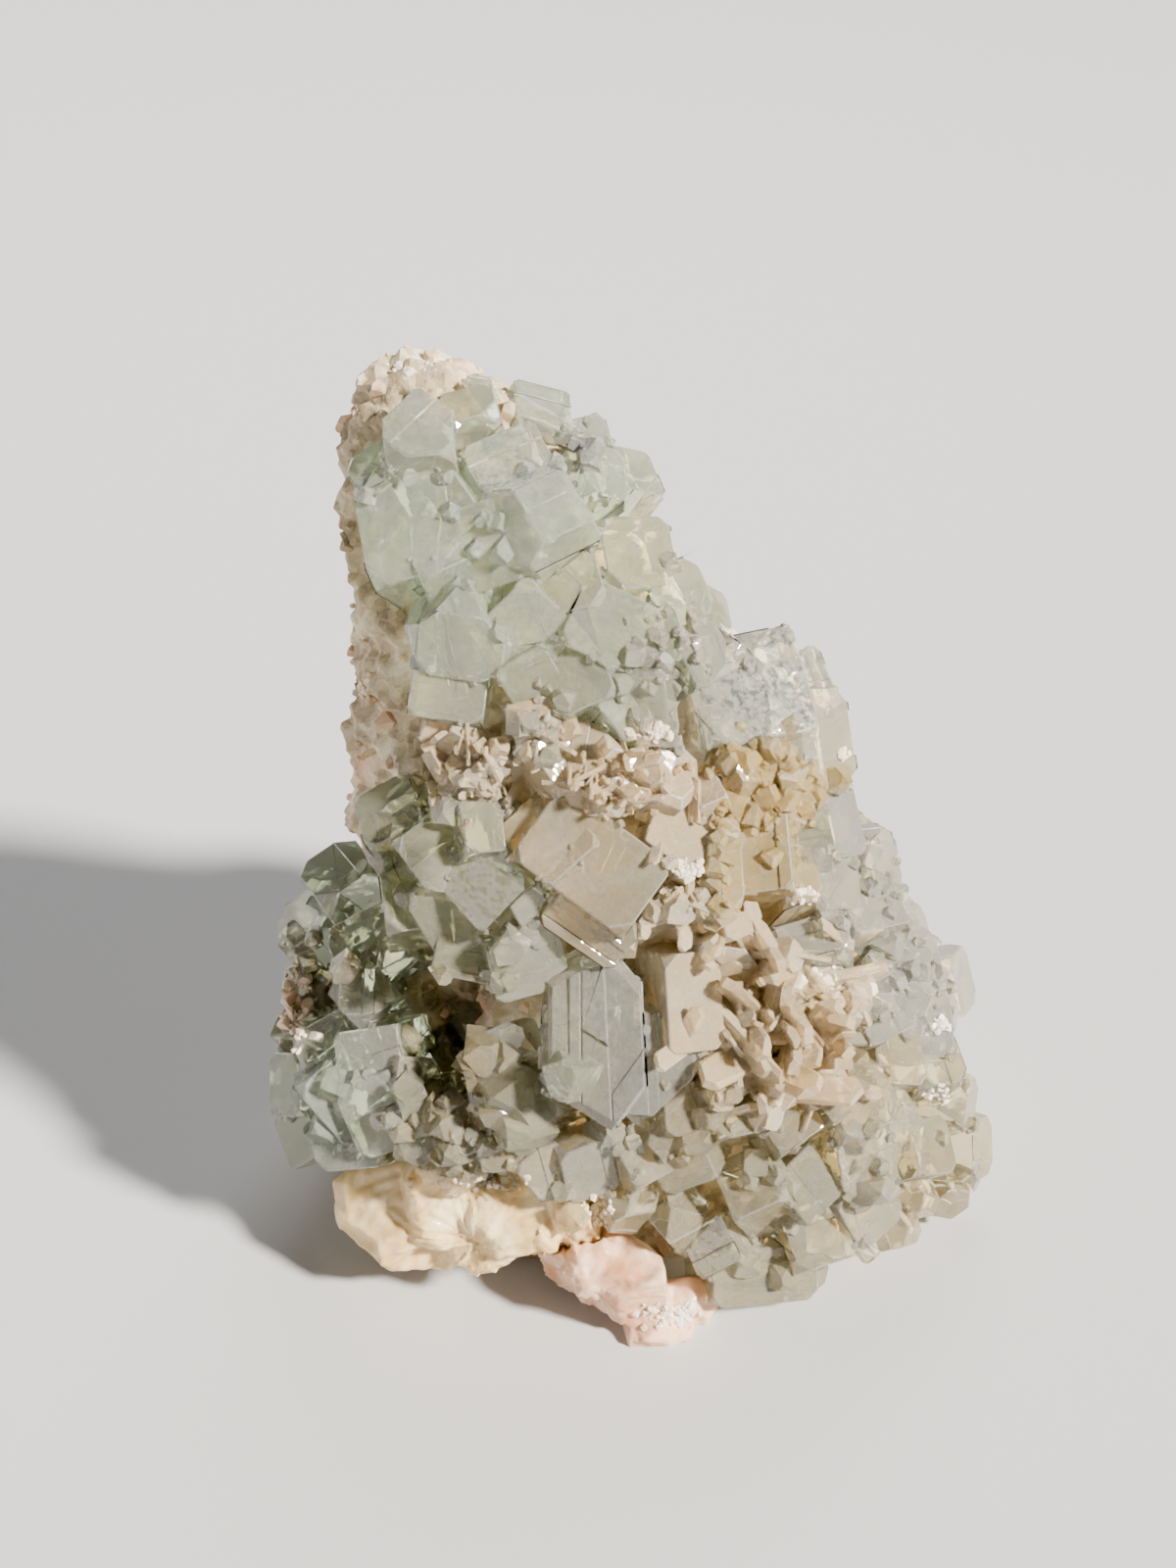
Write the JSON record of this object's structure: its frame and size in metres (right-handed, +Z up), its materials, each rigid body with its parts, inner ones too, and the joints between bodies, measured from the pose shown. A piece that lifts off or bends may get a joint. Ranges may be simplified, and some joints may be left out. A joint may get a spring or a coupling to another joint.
{
  "type": "apophyllite crystal cluster",
  "caption": "Tapered mineral cluster of pale green and clear block crystals with peach stilbite on rock, standing on a flat cut base.",
  "frame": {"origin": "middle of the whole cluster's box in plan, on the flat resting face", "axes": "+Z up along the tower's height, -Y towards the front that shows the large crystals, +X to the right seen from the front"},
  "size_m": [0.0842, 0.0702, 0.0989],
  "materials": {
    "green_apophyllite": "translucent pale green crystal, bright faces, milky inside",
    "clear_apophyllite": "nearly clear grey-white crystal with smoky specks",
    "smoky_apophyllite": "translucent tan-grey tabular crystal with dark specks",
    "cream_apophyllite": "translucent cream to yellow-green crystal",
    "amber_stilbite": "honey-yellow waxy bladed crystal",
    "peach_stilbite": "peach to cream pearly bladed crystal",
    "pink_stilbite": "salmon-pink satin blade with white crust",
    "matrix_rock": "rough granular grey-brown rock with white crusts"
  },
  "bodies": {
    "root": {"stepped_crystal": "clear_apophyllite", "tabular_crystal": "smoky_apophyllite", "shoulder_crystal": "clear_apophyllite", "summit_apophyllite": "green_apophyllite", "left_apophyllite": "green_apophyllite", "lower_left_apophyllite": "green_apophyllite", "right_apophyllite": "clear_apophyllite", "cream_apophyllite": "cream_apophyllite", "front_base_apophyllite": "cream_apophyllite", "right_base_apophyllite": "cream_apophyllite", "back_apophyllite": "green_apophyllite", "back_left_apophyllite": "green_apophyllite", "amber_stilbite": "amber_stilbite", "stilbite_band": "peach_stilbite", "stilbite_sprays": "peach_stilbite", "stilbite_fans": "peach_stilbite", "pink_stilbite": "pink_stilbite", "matrix": "matrix_rock"}
  },
  "joints": []
}
